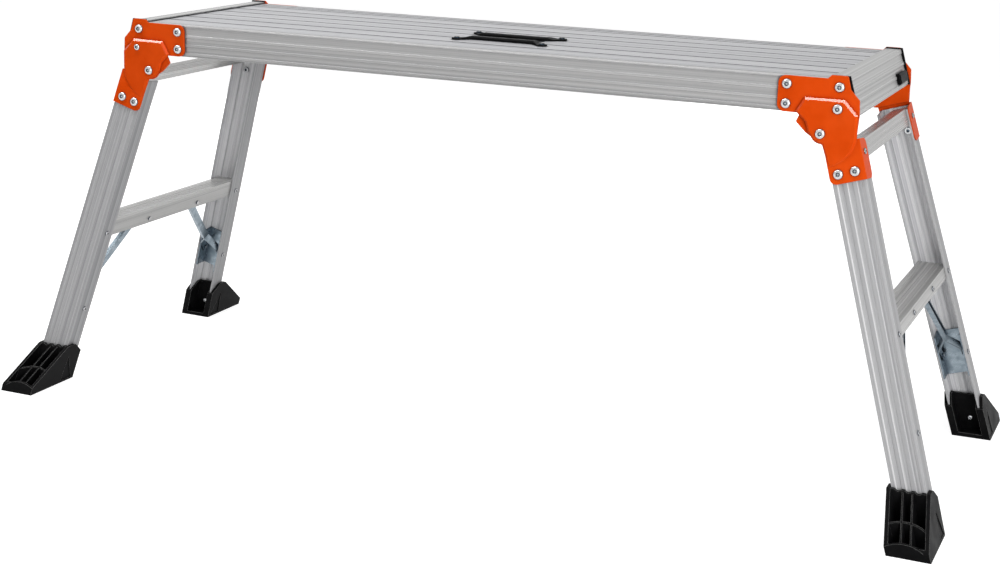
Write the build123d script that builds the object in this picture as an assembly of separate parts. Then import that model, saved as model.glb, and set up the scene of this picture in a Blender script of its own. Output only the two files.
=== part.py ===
from build123d import *
import os
from math import atan2, cos, degrees, hypot, radians, sin, tan

# Folding aluminium work platform. All sizes are in millimetres and degrees.
# X runs along the deck, Y across it with the front at -Y, and Z is up from the floor.
# Pieces are drawn once for the front right corner and mirrored to the other three.

# Deck
DECK_LENGTH = 1000.0
DECK_WIDTH = 314.4
DECK_HEIGHT = 530.0
RAIL_HEIGHT = 43.2
RAIL_WALL = 2.0
RIDGE_DEPTH = 1.0
RIDGE_HEIGHT = 3.0
RIDGE_SLANT = 0.5
RIDGE_FIRST = 2.2
RIDGE_PITCH = 12.0
RIDGE_COUNT = 3
LIP_WIDTH = 9.7
LIP_HEIGHT = 2.4
LIP_ROUND = 1.4
LEDGE_WIDTH = 10.0
RAIL_FOOT_WIDTH = 12.0
CLOSING_WIDTH = 29.5
FULL_PLANKS = 3
PLANK_HEIGHT = 26.0
PLANK_SHEET = 2.2
PLANK_WEB = 2.0
PLANK_GAP = 0.6
GROOVE_WIDTH = 4.0
GROOVE_DEPTH = 1.4
END_LIP_WIDTH = 20.0
END_LIP_RISE = 2.5
END_LIP_GAP = 0.8
END_LAP = 5.0
END_WALL = 2.5
END_SHELF = 10.0
DECK_FIT = 0.3
CAP_THICKNESS = 2.0
CAP_RIM = 1.8
BUMPER_WIDTH = 46.0
BUMPER_HEIGHT = 14.0
BUMPER_THICKNESS = 5.0
BUMPER_RISE = 13.5
BUMPER_INSET = 16.0

# Hand hold in the deck
GRIP_CENTRE_X = 18.5
GRIP_LENGTH = 93.0
GRIP_WIDTH = 12.0
GRIP_HEIGHT = 4.5
GRIP_EDGE = 1.5
GRIP_FLARE = 14.5
GRIP_FOOT_RADIUS = 7.0
GRIP_FOOT_HEIGHT = 2.2
GRIP_LINING = 2.5
GRIP_LINING_DEPTH = 9.0
HAND_SLOT = 35.0

# Fasteners: large rivets on the hinge plates, small ones in the leg frames
RIVET_DIAMETER = 6.0
RIVET_HEAD = 12.2
RIVET_HEAD_HEIGHT = 3.0
RIVET_TAIL = 9.0
RIVET_TAIL_HEIGHT = 2.5
RIVET_TAIL_BORE = 4.4
RIVET_RECESS = 5.2
SMALL_DIAMETER = 4.0
SMALL_HEAD = 7.4
SMALL_HEAD_HEIGHT = 1.9
SMALL_TAIL = 6.0
SMALL_TAIL_HEIGHT = 1.6
SMALL_RECESS = 3.0
PIN_DIAMETER = 9.0
PIN_TAIL = 13.0
HOLLOW_PIN_HEAD = 8.6
HOLLOW_PIN_HEIGHT = 1.9
HOLLOW_PIN_RECESS = 4.2
HEAD_RIM = 0.7
DOME_SHARE = 0.7
RECESS_DEPTH = 1.5
STUB_SHARE = 0.5
END_RIVET_LENGTH = 18.0
SCREW_DIAMETER = 4.0
SCREW_HEAD = 8.0
SCREW_HEAD_HEIGHT = 1.8
HOLE_FIT = 0.05

# Hinge plates
PIVOT_INSET = 27.5
PIVOT_DROP = 22.0
DECK_PLATE = 2.5
DECK_PLATE_REACH = 55.5
DECK_PLATE_ROUND = 9.0
DECK_PLATE_CORNER = 2.5
DECK_PLATE_INSET = 0.4
DECK_PLATE_OUTER = ((3.8, -11.3), (15.0, -23.3), (16.0, -41.0))
DECK_PLATE_TOE = (14.6, -0.8)
EAR_OUTLINE = ((-19.2, -0.5), (-31.6, 11.5))
EAR_TOP = -26.9
EAR_RADIUS = 13.0
DECK_RIVETS = ((-45.0, 55.2), (-45.0, 31.8), (18.0, 55.8))
RUNNING_GAP = 0.4
HEAD_PLATE = 4.8
HEAD_RADIUS = 43.0
HEAD_INNER_EDGE = ((2.8, -13.6), (-8.0, -9.0), (-15.5, 0.0), (-19.5, 12.0), (-32.0, 24.0))
HEAD_TOP_EDGE = ((-22.0, 41.5), (25.5, 42.0), (42.5, 24.5))
HEAD_BEVEL = 2.6
LOCK_PIN_AT = (18.5, 30.8)
LEG_PLATE = 1.6
LEG_PLATE_TOP = 15.0
LEG_PLATE_BOTTOM = 63.5
LEG_PLATE_ROUND = 8.0
LEG_PLATE_OVERLAP = 1.9
SIDE_FLANGE_DEPTH = 27.5
SIDE_FLANGE_ROUND = 9.0
LEG_PLATE_RIVET_LINE = 52.0
LEG_PLATE_RIVET_INSET = 9.3
LEG_PLATE_RIVET_PITCH = 20.5
BAR_RIVET_LINE = 31.0
BAR_RIVET_DEPTH = 12.0

# Leg frame
LEG_TILT = 17.0
LEG_SPLAY = 6.27
LEG_SPREAD = 1.2
LEG_OFFSET = 1.4
LEG_WIDTH = 40.6
LEG_DEPTH = 28.5
LEG_WALL = 2.2
LEG_TOP = 18.0
LEG_FLUTES = 3
LEG_FLUTE_PITCH = 11.65
LEG_FLUTE_WIDTH = 7.2
LEG_FLUTE_SLANT = 1.0
LEG_FLUTE_DEPTH = 0.9
BAR_TOP = 19.8
BAR_HEIGHT = 22.3
BAR_FLANGE = 20.0
BAR_WALL = 2.0
CROSS_GAP = 5.0
RUNG_HEIGHT = 243.5
RUNG_WALL = 2.0
RUNG_DEPTH = 27.6
RUNG_RIVET_DROP = 20.1
RUNG_GROOVES = 4
RUNG_GROOVE_WIDTH = 1.6
RUNG_GROOVE_DEPTH = 0.6
BRACE_BOLT_Y = 64.0
BRACE_RIVET_HEIGHT = 115.9
BRACE_WIDTH = 11.0
BRACE_SHEET = 2.0
BRACE_LIP = 4.0
BRACE_FORK_LENGTH = 46.0
BRACE_FORK_SPREAD = 27.0
BRACE_PLATE_LENGTH = 65.0
BRACE_PLATE_DEPTH = 25.0
BRACE_PLATE_SLANT = 2.0

# Feet
FOOT_REACH = 64.9
FOOT_HEIGHT = 57.5
FOOT_TOP_INSET = 2.5
FOOT_TOP_WIDTH = 17.0
FOOT_TOP_ROUND = 6.0
FOOT_HEEL_SLOPE = 40.0
FOOT_HEEL_WALL = 1.6
FOOT_TOE_HEIGHT = 11.0
FOOT_TOE_ROUND = 3.5
FOOT_TOE_CROWN = 17.7
FOOT_CHEEK = 4.6
FOOT_WALL = 4.0
FOOT_INNER_WALL = 2.4
FOOT_TONGUE = 4.0
FOOT_SOLE = 6.0
FOOT_FIT = 0.2
FOOT_RIB = 1.8
FOOT_RIB_SPREAD = 11.0
FOOT_RIB_SHIFT = 1.4
FOOT_RIB_DROP = 2.0
FOOT_ARC_RADIUS = 48.8
FOOT_ARC_FROM_TOE = 33.0
FOOT_SCALLOP = 4.2
FOOT_SCALLOP_DEPTH = 2.4
FOOT_RIVET_HEIGHT = 20.0
FOOT_RECESS_DEPTH = 1.2
FOOT_RECESS = ((-8.5, 40.0), (-1.5, 3.0), (-25.5, 3.0))
FAR = 900.0

HALF_LENGTH = DECK_LENGTH / 2
HALF_WIDTH = DECK_WIDTH / 2
RAIL_BOTTOM = DECK_HEIGHT - RAIL_HEIGHT
LEDGE_TOP = DECK_HEIGHT - PLANK_HEIGHT
LIP_INNER = HALF_WIDTH - LIP_WIDTH
WEB_INNER = HALF_WIDTH - RIDGE_DEPTH - RAIL_WALL
PLANK_WIDTH = (2 * LIP_INNER - CLOSING_WIDTH) / FULL_PLANKS
END_TOP = DECK_HEIGHT + END_LIP_RISE
END_INNER = HALF_LENGTH - END_LIP_WIDTH + END_LAP
PIVOT_X = HALF_LENGTH - PIVOT_INSET
PIVOT_Z = RAIL_BOTTOM - PIVOT_DROP
PLATE_FACE = HALF_WIDTH + DECK_PLATE
HEAD_BACK = PLATE_FACE + RUNNING_GAP
HEAD_FACE = HEAD_BACK + HEAD_PLATE
LEG_OUTER = LEG_OFFSET + LEG_WIDTH
LEG_MIDDLE = LEG_OFFSET + LEG_WIDTH / 2
FLANGE_IN = LEG_OFFSET + LEG_WALL
FLANGE_OUT = LEG_OUTER - LEG_WALL
FLANGE_LINE = LEG_DEPTH / 2
TREAD = (PIVOT_Z - RUNG_HEIGHT) / cos(radians(LEG_TILT))
RUNG_BOTTOM = TREAD + RUNG_DEPTH
RUNG_RIVET_LINE = TREAD + RUNG_RIVET_DROP

# The leg frame turns about the pivot: its X is the outward normal and -Z runs down the slope.
# The leg's own frame is splayed within it, with Y = 0 on the outer face of the front leg's web.
FRAME = Pos(PIVOT_X, 0, PIVOT_Z) * Rot(0, -LEG_TILT, 0)
LEG = FRAME * Pos(0, -(HALF_WIDTH + LEG_SPREAD), 0) * Rot(-LEG_SPLAY, 0, 0)
PIVOT = Pos(PIVOT_X, 0, PIVOT_Z)

HEAD_TO_FRONT = Rot(90, 0, 0)
HEAD_TO_REAR = Rot(-90, 0, 0)
HEAD_OUTWARD = Rot(0, 90, 0)
HEAD_INWARD = Rot(0, -90, 0)


def block(x0, x1, y0, y1, z0, z1):
    """A box between two corners."""
    centre = Pos((x0 + x1) / 2, (y0 + y1) / 2, (z0 + z1) / 2)
    return centre * Box(x1 - x0, y1 - y0, z1 - z0)


def outline(corners):
    """A flat face from corners (u, v, radius), each corner rounded by its radius."""
    face = make_face(Polyline(*[(u, v) for u, v, radius in corners], close=True))
    for u, v, radius in corners:
        if radius > 0:
            vertex = face.vertices().sort_by_distance((u, v))[0]
            face = fillet(vertex, radius)
    return face


def sharp(points):
    """Corners without rounding."""
    return [(u, v, 0) for u, v in points]


def across(face, y0, y1):
    """A face drawn in X and Z, made solid from y0 to y1."""
    return Pos(0, y1, 0) * extrude(Plane.XZ * face, y1 - y0)


def along(face, x0, x1):
    """A face drawn in Y and Z, made solid from x0 to x1."""
    return Pos(x0, 0, 0) * extrude(Plane.YZ * face, x1 - x0)


def corner(shape, side, row):
    """A front right shape, mirrored to the left side and to the rear row as asked."""
    if side == "left":
        shape = mirror(shape, about=Plane.YZ)
    if row == "rear":
        shape = mirror(shape, about=Plane.XZ)
    return shape


def shank(diameter, low, high):
    """A round length along Z between two heights."""
    return Pos(0, 0, (low + high) / 2) * Cylinder(diameter / 2, high - low)


def stud(length, diameter=RIVET_DIAMETER, head=RIVET_HEAD, height=RIVET_HEAD_HEIGHT, recess=RIVET_RECESS):
    """A fastener along Z: a dome above Z = 0, dished round a small stub, and a plain shank below."""
    inner = recess / 2
    outer = head / 2
    dish = height - RECESS_DEPTH
    stub = (STUB_SHARE * inner, dish + STUB_SHARE * RECESS_DEPTH)
    middle = (inner + DOME_SHARE * (outer - inner), HEAD_RIM + DOME_SHARE * (height - HEAD_RIM))
    dome = ThreePointArc((inner, height), middle, (outer, HEAD_RIM))
    rest = Polyline(
        (outer, HEAD_RIM),
        (outer, 0),
        (0, 0),
        (0, stub[1]),
        stub,
        (stub[0], dish),
        (inner, dish),
        (inner, height),
    )
    return revolve(Plane.XZ * make_face(dome + rest), Axis.Z) + shank(diameter, -length, 0)


def rivet(grip, diameter=RIVET_DIAMETER, tail=RIVET_TAIL):
    """A large rivet through plates of the grip's thickness, with its hollow set tail behind them."""
    end = -grip - RIVET_TAIL_HEIGHT
    return stud(grip, diameter) + shank(tail, end, -grip) - shank(RIVET_TAIL_BORE, end, -grip)


def small_rivet(grip):
    """A small rivet through plates of the grip's thickness, with its set tail behind them."""
    body = stud(grip, SMALL_DIAMETER, SMALL_HEAD, SMALL_HEAD_HEIGHT, SMALL_RECESS)
    return body + shank(SMALL_TAIL, -grip - SMALL_TAIL_HEIGHT, -grip)


def screw(grip):
    """A pan-head screw along Z, with its head above Z = 0 and its point in the sheet below."""
    head = shank(SCREW_HEAD, 0, SCREW_HEAD_HEIGHT)
    head = chamfer(head.edges().group_by(Axis.Z)[-1], SCREW_HEAD_HEIGHT / 2)
    return head + shank(SCREW_DIAMETER, -grip, 0)


def drill(shape, places, diameter=RIVET_DIAMETER, reach=FAR):
    """The shape with a hole for a fastener at each place, as deep as the reach on both sides."""
    for place in places:
        shape = shape - place * Cylinder(diameter / 2 + HOLE_FIT, 2 * reach)
    return shape


def save(name, *solids):
    """Writes one piece, or a group of like fasteners, to its own file."""
    shape = solids[0] if len(solids) == 1 else Compound(children=list(solids))
    export_step(shape, f"parts/{name}.step")


def leg_line(z):
    """The distance down the middle of a leg, from the pivot's level, to height z."""
    return (PIVOT_Z + LEG_MIDDLE * sin(radians(LEG_TILT)) - z) / cos(radians(LEG_TILT))


def end_face(z):
    """The X of the slanting outer face of the right end rail at height z."""
    return HALF_LENGTH + (END_TOP - z) * tan(radians(LEG_TILT))


def upright_face(z):
    """The distance of the outer face of a side rail from the middle of the deck."""
    return HALF_WIDTH


def ribbed(face):
    """Points up the outer face of a rail, over its ridges, to the proud lip at the deck's top."""
    points = [(face(RAIL_BOTTOM) - RIDGE_DEPTH, RAIL_BOTTOM)]
    for index in range(RIDGE_COUNT):
        low = RAIL_BOTTOM + RIDGE_FIRST + index * RIDGE_PITCH
        high = low + RIDGE_HEIGHT
        points.append((face(low) - RIDGE_DEPTH, low - RIDGE_SLANT))
        points.append((face(low), low))
        points.append((face(high), high))
        points.append((face(high) - RIDGE_DEPTH, high + RIDGE_SLANT))
    lip = DECK_HEIGHT - LIP_HEIGHT
    points.append((face(lip) - RIDGE_DEPTH, lip - RIDGE_SLANT))
    points.append((face(lip), lip))
    return points


os.makedirs("parts", exist_ok=True)
SIDES = ("left", "right")
ROWS = ("front", "rear")

# Places of the fasteners of the front right corner.
deck_rivet_places = [PIVOT * Pos(x, -PLATE_FACE, z) * HEAD_TO_FRONT for x, z in DECK_RIVETS]
pivot_place = PIVOT * Pos(0, -HEAD_FACE, 0) * HEAD_TO_FRONT
lock_place = PIVOT * Pos(LOCK_PIN_AT[0], -HEAD_FACE, LOCK_PIN_AT[1]) * HEAD_TO_FRONT
plate_rivet_in = LEG_OFFSET + LEG_PLATE_RIVET_INSET
plate_rivet_places = [
    LEG * Pos(x, -LEG_PLATE, -LEG_PLATE_RIVET_LINE) * HEAD_TO_FRONT
    for x in (plate_rivet_in, plate_rivet_in + LEG_PLATE_RIVET_PITCH)
]
bar_rivet_place = LEG * Pos(LEG_OUTER + LEG_PLATE, BAR_RIVET_DEPTH, -BAR_RIVET_LINE) * HEAD_OUTWARD
rung_rivet_places = [
    LEG * Pos(LEG_OUTER, FLANGE_LINE, -RUNG_RIVET_LINE) * HEAD_OUTWARD,
    LEG * Pos(LEG_OFFSET, FLANGE_LINE, -RUNG_RIVET_LINE) * HEAD_INWARD,
]
brace_line = leg_line(BRACE_RIVET_HEIGHT)
brace_rivet_places = [
    LEG * Pos(LEG_OUTER, FLANGE_LINE, -brace_line) * HEAD_OUTWARD,
    LEG * Pos(LEG_OFFSET, FLANGE_LINE, -brace_line) * HEAD_INWARD,
]
brace_bolt_place = FRAME * Pos(FLANGE_OUT, -BRACE_BOLT_Y, -RUNG_RIVET_LINE) * HEAD_OUTWARD
tongue_face = LEG_WALL + FOOT_FIT + FOOT_TONGUE
foot_rivet_place = LEG * Pos(LEG_MIDDLE, tongue_face, -leg_line(FOOT_RIVET_HEIGHT)) * HEAD_TO_REAR

# Deck planks: thin extrusions with edge webs and a middle web under a shallow groove. Their long
# edges are stepped down, so that each joint looks like one more groove.
# Three full planks and a narrow one fill the width, and the second has the hand slot.
plank_half = END_INNER - DECK_FIT


def plank(front, width):
    """A plank with its front edge at the given Y."""
    low = front + PLANK_GAP / 2
    high = front + width - PLANK_GAP / 2
    middle = (low + high) / 2
    shape = block(-plank_half, plank_half, low, high, DECK_HEIGHT - PLANK_SHEET, DECK_HEIGHT)
    for y in (low, middle - PLANK_WEB / 2, high - PLANK_WEB):
        shape = shape + block(-plank_half, plank_half, y, y + PLANK_WEB, LEDGE_TOP, DECK_HEIGHT)
    for y in (front, middle, front + width):
        shape = shape - block(
            -plank_half, plank_half,
            y - GROOVE_WIDTH / 2, y + GROOVE_WIDTH / 2,
            DECK_HEIGHT - GROOVE_DEPTH, DECK_HEIGHT + GROOVE_DEPTH,
        )
    return shape


slot_front = -LIP_INNER + PLANK_WIDTH
slot_rear = slot_front + HAND_SLOT
slot_middle = (slot_front + slot_rear) / 2
hand_slot = block(
    GRIP_CENTRE_X - GRIP_LENGTH / 2, GRIP_CENTRE_X + GRIP_LENGTH / 2,
    slot_front, slot_rear, LEDGE_TOP - PLANK_SHEET, DECK_HEIGHT + PLANK_SHEET,
)

# Hand grips: a moulded bar along each long edge of the slot, with a lining that hangs into the
# slot and two thin feet that flare out onto the planks, each held by a screw.
grip_line = HAND_SLOT / 2 + GRIP_WIDTH / 2 - GRIP_LINING
grip_foot = grip_line + GRIP_FLARE
grip_place = Pos(GRIP_CENTRE_X, slot_middle, DECK_HEIGHT)
foot_spots = [(-GRIP_LENGTH / 2 - GRIP_FLARE, -grip_foot), (GRIP_LENGTH / 2 + GRIP_FLARE, -grip_foot)]
grip_path = FilletPolyline(
    foot_spots[0],
    (-GRIP_LENGTH / 2, -grip_line),
    (GRIP_LENGTH / 2, -grip_line),
    foot_spots[1],
    radius=GRIP_WIDTH,
)
grip_plan = trace(grip_path, GRIP_WIDTH)
for spot in foot_spots:
    grip_plan = grip_plan + Pos(*spot) * Circle(GRIP_FOOT_RADIUS)
grip = extrude(grip_plan, GRIP_HEIGHT)
grip = chamfer(grip.edges().group_by(Axis.Z)[-1], GRIP_EDGE)
bar_end = GRIP_LENGTH / 2
foot_start = bar_end + GRIP_FLARE - GRIP_FOOT_RADIUS
foot_end = bar_end + GRIP_FLARE + GRIP_FOOT_RADIUS
grip_side = outline(sharp([
    (-foot_end, 0),
    (-foot_end, GRIP_FOOT_HEIGHT),
    (-foot_start, GRIP_FOOT_HEIGHT),
    (-bar_end, GRIP_HEIGHT),
    (bar_end, GRIP_HEIGHT),
    (foot_start, GRIP_FOOT_HEIGHT),
    (foot_end, GRIP_FOOT_HEIGHT),
    (foot_end, 0),
]))
grip = grip & across(grip_side, -FAR, FAR)
grip = grip + block(
    -bar_end + GRIP_WIDTH, bar_end - GRIP_WIDTH,
    -HAND_SLOT / 2 + DECK_FIT, -HAND_SLOT / 2 + GRIP_LINING,
    -GRIP_LINING_DEPTH, GRIP_HEIGHT / 2,
)
screw_places = [Pos(u, v, GRIP_FOOT_HEIGHT) for u, v in foot_spots]
grip = drill(grip, screw_places, SCREW_DIAMETER)
screws = [place * screw(GRIP_FOOT_HEIGHT + PLANK_SHEET) for place in screw_places]
front_grip = grip_place * grip
rear_grip = grip_place * mirror(grip, about=Plane.XZ)
front_screws = [grip_place * shape for shape in screws]
rear_screws = [grip_place * mirror(shape, about=Plane.XZ) for shape in screws]
save("front_hand_grip", front_grip)
save("rear_hand_grip", rear_grip)
save("hand_grip_screws", *front_screws, *rear_screws)

front_screw_places = [grip_place * place for place in screw_places]
rear_screw_places = [grip_place * Pos(u, -v, GRIP_FOOT_HEIGHT) for u, v in foot_spots]
front_plank = plank(-LIP_INNER, PLANK_WIDTH)
grip_plank = plank(slot_front, PLANK_WIDTH) - hand_slot
save("front_plank", drill(front_plank, front_screw_places, SCREW_DIAMETER, PLANK_HEIGHT))
save("grip_plank", drill(grip_plank, rear_screw_places, SCREW_DIAMETER, PLANK_HEIGHT))
save("middle_plank", plank(slot_front + PLANK_WIDTH, PLANK_WIDTH))
save("closing_plank", plank(LIP_INNER - CLOSING_WIDTH, CLOSING_WIDTH))

# Side rails: ribbed extrusions with a top lip level with the planks, a ledge that carries the
# outer planks and a short foot at the bottom. They run between the end rails.
rail_inside = [
    (LIP_INNER, DECK_HEIGHT),
    (LIP_INNER, DECK_HEIGHT - RAIL_WALL),
    (WEB_INNER, DECK_HEIGHT - RAIL_WALL),
    (WEB_INNER, LEDGE_TOP),
    (WEB_INNER - LEDGE_WIDTH, LEDGE_TOP),
    (WEB_INNER - LEDGE_WIDTH, LEDGE_TOP - RAIL_WALL),
    (WEB_INNER, LEDGE_TOP - RAIL_WALL),
    (WEB_INNER, RAIL_BOTTOM + RAIL_WALL),
    (WEB_INNER - RAIL_FOOT_WIDTH, RAIL_BOTTOM + RAIL_WALL),
    (WEB_INNER - RAIL_FOOT_WIDTH, RAIL_BOTTOM),
]
rail_corners = sharp(ribbed(upright_face)) + [(HALF_WIDTH, DECK_HEIGHT, LIP_ROUND)] + sharp(rail_inside)
rail_face = outline([(-distance, z, radius) for distance, z, radius in rail_corners])
side_rail = along(rail_face, -END_INNER, END_INNER)
for side in SIDES:
    for place in deck_rivet_places[:2]:
        hole = place * Cylinder(RIVET_DIAMETER / 2 + HOLE_FIT, LEDGE_WIDTH + RIVET_HEAD)
        side_rail = side_rail - corner(hole, side, "front")
for row in ROWS:
    save(f"{row}_side_rail", corner(side_rail, "right", row))

# End rails: hollow extrusions with a slanting ribbed face. The top lip laps over the plank ends,
# a shelf carries them and a round boss takes the end rivets.
lip_bottom = DECK_HEIGHT + END_LIP_GAP
end_inside = [
    (HALF_LENGTH - END_LIP_WIDTH, END_TOP),
    (HALF_LENGTH - END_LIP_WIDTH, lip_bottom),
    (END_INNER, lip_bottom),
    (END_INNER, RAIL_BOTTOM),
]
end_corners = sharp(ribbed(end_face)) + [(end_face(END_TOP), END_TOP, LIP_ROUND)] + sharp(end_inside)
hollow_low = RAIL_BOTTOM + END_WALL
hollow_high = END_TOP - END_WALL
hollow = outline(sharp([
    (END_INNER + END_WALL, hollow_low),
    (end_face(hollow_low) - RIDGE_DEPTH - END_WALL, hollow_low),
    (end_face(hollow_high) - RIDGE_DEPTH - END_WALL, hollow_high),
    (END_INNER + END_WALL, hollow_high),
]))
end_length = HALF_WIDTH - CAP_THICKNESS
boss_x, boss_z = DECK_RIVETS[2]
boss_place = PIVOT * Pos(boss_x, 0, boss_z) * HEAD_TO_FRONT
boss = boss_place * Cylinder(RIVET_DIAMETER / 2 + END_WALL, 2 * end_length)
chamber = across(hollow, -end_length, end_length)
end_rail = across(outline(end_corners), -end_length, end_length) - (chamber - boss)
shelf_half = WEB_INNER - LEDGE_WIDTH - DECK_FIT
end_rail = end_rail + block(
    END_INNER - END_SHELF, END_INNER, -shelf_half, shelf_half, LEDGE_TOP - END_WALL, LEDGE_TOP
)
end_rivet_place = deck_rivet_places[2]
for row in ROWS:
    hole = end_rivet_place * Cylinder(RIVET_DIAMETER / 2 + HOLE_FIT, 2 * END_RIVET_LENGTH)
    end_rail = end_rail - corner(hole, "right", row)
for side in SIDES:
    save(f"{side}_end_rail", corner(end_rail, side, "front"))

# End caps: thin moulded covers on the open ends of the end rails, behind the hinge plates.
# Their rims stand a little proud of the rails.
cap_shape = outline(sharp([
    (END_INNER, RAIL_BOTTOM),
    (end_face(RAIL_BOTTOM) + CAP_RIM, RAIL_BOTTOM),
    (end_face(END_TOP) + CAP_RIM, END_TOP + CAP_RIM),
    (HALF_LENGTH - END_LIP_WIDTH, END_TOP + CAP_RIM),
    (HALF_LENGTH - END_LIP_WIDTH, lip_bottom),
    (END_INNER, lip_bottom),
]))
end_cap = drill(across(cap_shape, -HALF_WIDTH, -end_length), [end_rivet_place])
save("end_caps", *[corner(end_cap, side, row) for side in SIDES for row in ROWS])

# End bumpers: a small moulded block on the face of each end rail, beside one corner.
bumper_z = RAIL_BOTTOM + BUMPER_RISE
bumper_place = Pos(end_face(bumper_z), end_length - BUMPER_INSET, bumper_z) * Rot(0, -LEG_TILT, 0)
bumper = block(0, BUMPER_THICKNESS, -BUMPER_WIDTH, 0, -BUMPER_HEIGHT / 2, BUMPER_HEIGHT / 2)
bumper = bumper_place * chamfer(bumper.edges().group_by(Axis.X)[-1], BUMPER_THICKNESS / 3)
save("end_bumpers", bumper, Rot(0, 0, 180) * bumper)

# Deck brackets: pressed plates on the corners of the deck. An ear below the rail carries the pivot,
# and a step in the top edge covers the end cap.
top_line = PIVOT_DROP + RAIL_HEIGHT
outer_edge = [(PIVOT_INSET + x, top_line + z) for x, z in DECK_PLATE_OUTER]
step_x = PIVOT_INSET - END_LIP_WIDTH
step_rise = END_LIP_RISE + CAP_RIM
plate_corners = [
    (-DECK_PLATE_REACH, top_line, DECK_PLATE_ROUND),
    (step_x - step_rise, top_line, 0),
    (step_x, top_line + step_rise, 0),
    (PIVOT_INSET - DECK_PLATE_INSET, top_line + step_rise, DECK_PLATE_CORNER),
    (outer_edge[0][0], outer_edge[0][1], DECK_PLATE_CORNER),
    (outer_edge[1][0], outer_edge[1][1], DECK_PLATE_CORNER),
    (outer_edge[2][0], outer_edge[2][1], 0),
    (PIVOT_INSET + DECK_PLATE_TOE[0], DECK_PLATE_TOE[1], 0),
    (0, -EAR_RADIUS, 0),
    (EAR_OUTLINE[0][0], EAR_OUTLINE[0][1], 0),
    (EAR_OUTLINE[1][0], EAR_OUTLINE[1][1], DECK_PLATE_CORNER),
    (EAR_TOP, PIVOT_DROP, 0),
    (-DECK_PLATE_REACH, PIVOT_DROP, DECK_PLATE_ROUND),
]
plate_face = outline(plate_corners) + Circle(EAR_RADIUS)
deck_bracket = PIVOT * across(plate_face, -PLATE_FACE, -HALF_WIDTH)
deck_bracket = drill(deck_bracket, deck_rivet_places)
deck_bracket = drill(deck_bracket, [pivot_place], PIN_DIAMETER)
rail_grip = DECK_PLATE + RIDGE_DEPTH + RAIL_WALL
deck_rivets = [place * rivet(rail_grip) for place in deck_rivet_places[:2]]
deck_rivets.append(end_rivet_place * stud(END_RIVET_LENGTH))
for side in SIDES:
    for row in ROWS:
        save(f"{side}_{row}_deck_bracket", corner(deck_bracket, side, row))
corner_rivets = [corner(shape, side, row) for shape in deck_rivets for side in SIDES for row in ROWS]
save("deck_bracket_rivets", *corner_rivets)

# Legs: fluted channels, open towards the middle of the platform, cut level inside the feet.
# Grooves inside the web, behind the lands between the flutes, keep its thickness even.
above_foot_sole = block(-FAR, FAR, -FAR, FAR, FOOT_SOLE, FAR)
channel = block(LEG_OFFSET, LEG_OUTER, 0, LEG_DEPTH, -FAR, -LEG_TOP)
between_flanges = block(FLANGE_IN, FLANGE_OUT, 0, FAR, -2 * FAR, FAR)
channel = channel - Pos(0, LEG_WALL, 0) * between_flanges
first_flute = LEG_MIDDLE - LEG_FLUTE_PITCH * (LEG_FLUTES - 1) / 2
first_land = first_flute - LEG_FLUTE_PITCH / 2


def flute(middle, mouth, face, depth):
    """A groove with slanting sides, cut into a web face at the given Y down the whole leg."""
    half_mouth = mouth / 2
    half_floor = half_mouth - LEG_FLUTE_SLANT
    plan = make_face(Polyline(
        (middle - half_mouth, face),
        (middle - half_floor, face + depth),
        (middle + half_floor, face + depth),
        (middle + half_mouth, face),
        close=True,
    ))
    return extrude(plan, -FAR)


for index in range(LEG_FLUTES):
    channel = channel - flute(first_flute + index * LEG_FLUTE_PITCH, LEG_FLUTE_WIDTH, 0, LEG_FLUTE_DEPTH)
land_width = LEG_FLUTE_PITCH - LEG_FLUTE_WIDTH
for index in range(LEG_FLUTES + 1):
    groove = flute(first_land + index * LEG_FLUTE_PITCH, land_width, LEG_WALL, -LEG_FLUTE_DEPTH)
    channel = channel - (groove & between_flanges)
leg = LEG * channel & above_foot_sole
leg = drill(leg, plate_rivet_places, RIVET_DIAMETER, LEG_DEPTH)
leg = drill(leg, [bar_rivet_place], SMALL_DIAMETER, LEG_DEPTH)
leg = drill(leg, rung_rivet_places + brace_rivet_places, SMALL_DIAMETER, LEG_DEPTH / 2)
leg = drill(leg, [foot_rivet_place], SMALL_DIAMETER, LEG_DEPTH)

# Leg brackets: a bevelled head plate beside the deck bracket, bent into a plate on the splayed web
# of the leg, with a flange folded round onto the leg's outer side.
sweep = CenterArc((0, 0), HEAD_RADIUS, 0, LEG_TILT - 90)
head_edge = Polyline(sweep @ 1, *HEAD_INNER_EDGE, *HEAD_TOP_EDGE, sweep @ 0)
head_face = make_face(head_edge + sweep)
head = across(head_face, -HEAD_FACE, -HEAD_BACK)
head = chamfer(head.edges().group_by(Axis.Y)[0], HEAD_BEVEL)
inside_web = LEG * block(-FAR, FAR, 0, FAR, -FAR, FAR)
leg_plate = across(
    outline([
        (LEG_OFFSET - LEG_PLATE_OVERLAP, -LEG_PLATE_TOP, 0),
        (LEG_OUTER + LEG_PLATE, -LEG_PLATE_TOP, 0),
        (LEG_OUTER + LEG_PLATE, -LEG_PLATE_BOTTOM, 0),
        (LEG_OFFSET - LEG_PLATE_OVERLAP, -LEG_PLATE_BOTTOM, LEG_PLATE_ROUND),
    ]),
    -LEG_PLATE, 0,
)
side_flange = along(
    outline([
        (-LEG_PLATE, -LEG_PLATE_TOP, 0),
        (SIDE_FLANGE_DEPTH, -LEG_PLATE_TOP, SIDE_FLANGE_ROUND),
        (SIDE_FLANGE_DEPTH, -LEG_PLATE_BOTTOM, SIDE_FLANGE_ROUND),
        (-LEG_PLATE, -LEG_PLATE_BOTTOM, 0),
    ]),
    LEG_OUTER, LEG_OUTER + LEG_PLATE,
)
leg_bracket = (PIVOT * head - inside_web) + LEG * (leg_plate + side_flange)
leg_bracket = drill(leg_bracket, [pivot_place], PIN_DIAMETER)
leg_bracket = drill(leg_bracket, [lock_place])
leg_bracket = drill(leg_bracket, plate_rivet_places, RIVET_DIAMETER, LEG_DEPTH)
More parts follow.
